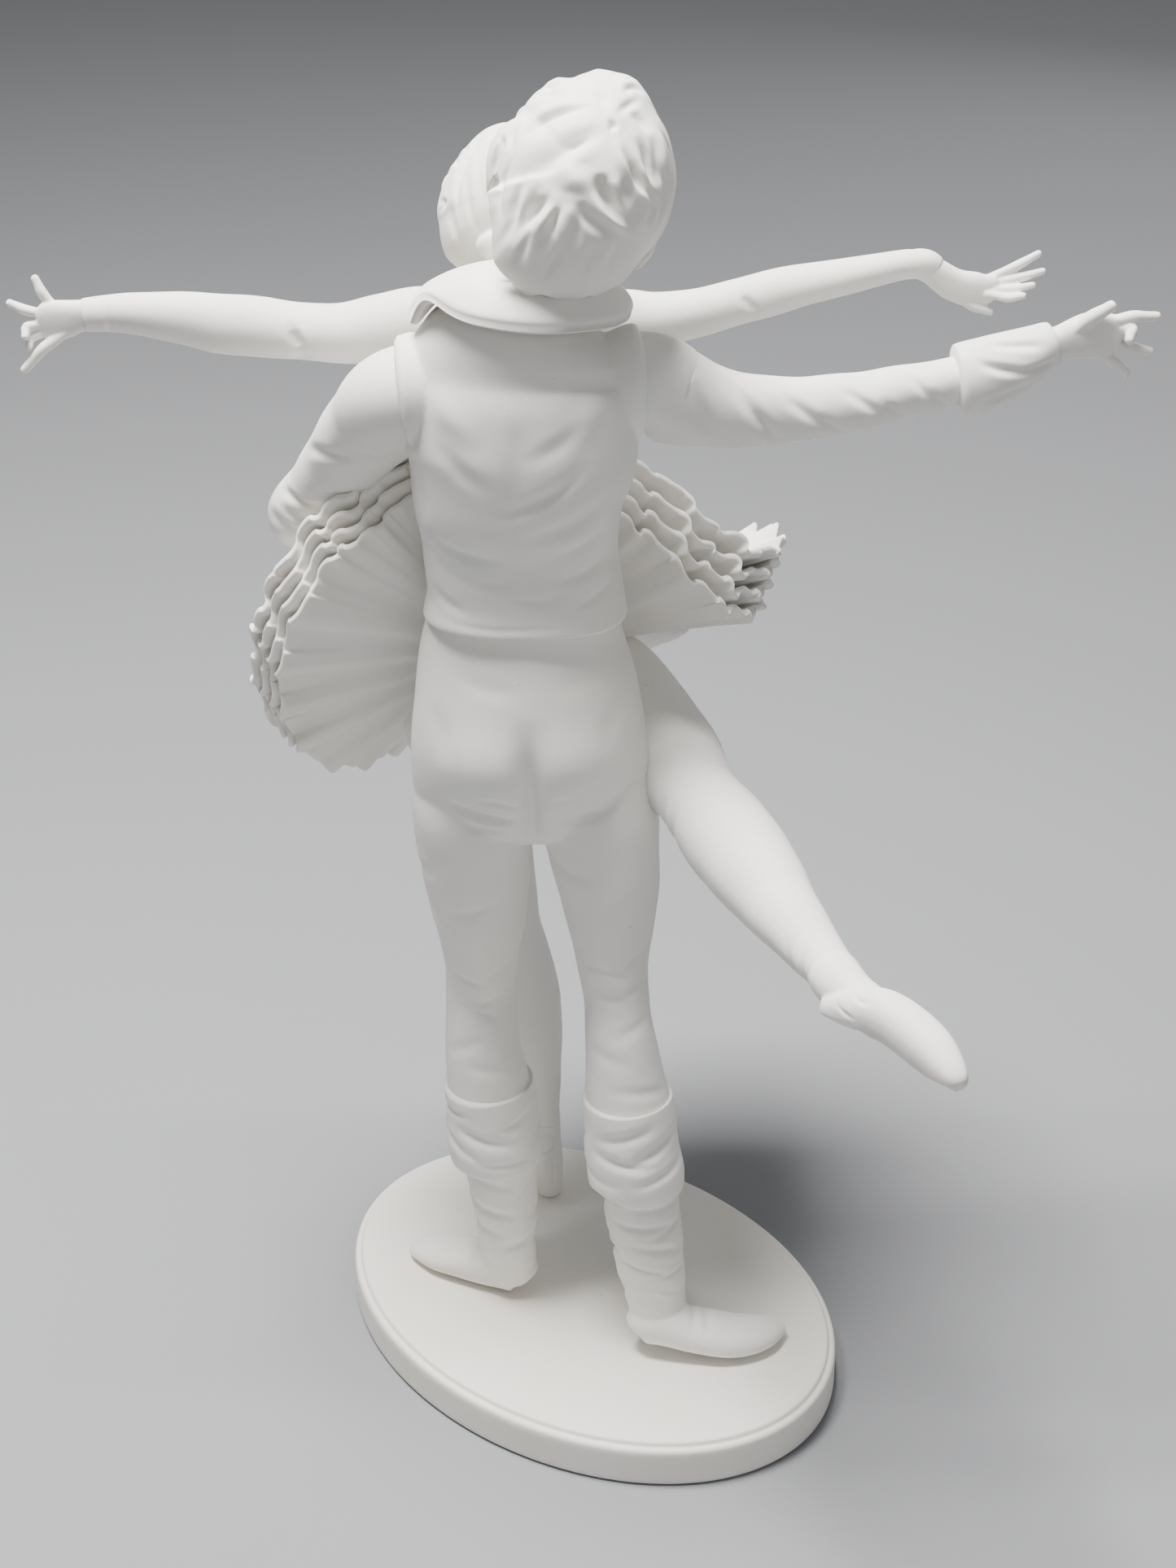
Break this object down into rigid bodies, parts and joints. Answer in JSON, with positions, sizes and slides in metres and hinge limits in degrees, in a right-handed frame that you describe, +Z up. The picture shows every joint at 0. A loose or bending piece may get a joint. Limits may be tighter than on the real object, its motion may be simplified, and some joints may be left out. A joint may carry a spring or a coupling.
{
  "type": "porcelain figurine",
  "caption": "White unglazed porcelain ballet couple, one dancer lifting a leg behind in a frilled tutu, held from behind by the other, on an oval plinth.",
  "frame": {"origin": "on the ground, under the middle of the box round the whole group", "axes": "+Z up the dancers; both dancers face +Y, and +X is on their right-hand side"},
  "size_m": [0.2364, 0.1906, 0.2953],
  "materials": {
    "figure_bisque": "matt unglazed biscuit porcelain",
    "tutu_bisque": "matt unglazed biscuit porcelain, thin frills",
    "plinth_bisque": "matt unglazed biscuit porcelain, wiped smooth"
  },
  "bodies": {
    "root": {"plinth": "plinth_bisque", "man_jerkin": "figure_bisque", "man_tights": "figure_bisque", "man_left_cuff": "figure_bisque", "man_right_cuff": "figure_bisque", "man_left_boot": "figure_bisque", "man_right_boot": "figure_bisque", "man_neck": "figure_bisque", "man_head": "figure_bisque", "man_hair": "figure_bisque", "man_collar": "figure_bisque", "man_right_sleeve": "figure_bisque", "man_right_wristband": "figure_bisque", "man_left_sleeve": "figure_bisque", "man_right_hand": "figure_bisque", "man_left_hand": "figure_bisque", "woman_bodice": "figure_bisque", "woman_neck": "figure_bisque", "woman_head": "figure_bisque", "woman_hair": "figure_bisque", "woman_left_arm": "figure_bisque", "woman_right_arm": "figure_bisque", "woman_left_hand": "figure_bisque", "woman_right_hand": "figure_bisque", "woman_standing_leg": "figure_bisque", "woman_standing_slipper": "figure_bisque", "woman_raised_leg": "figure_bisque", "woman_raised_slipper": "figure_bisque", "tutu_tier_1": "tutu_bisque", "tutu_tier_2": "tutu_bisque", "tutu_tier_3": "tutu_bisque", "tutu_tier_4": "tutu_bisque"}
  },
  "joints": []
}
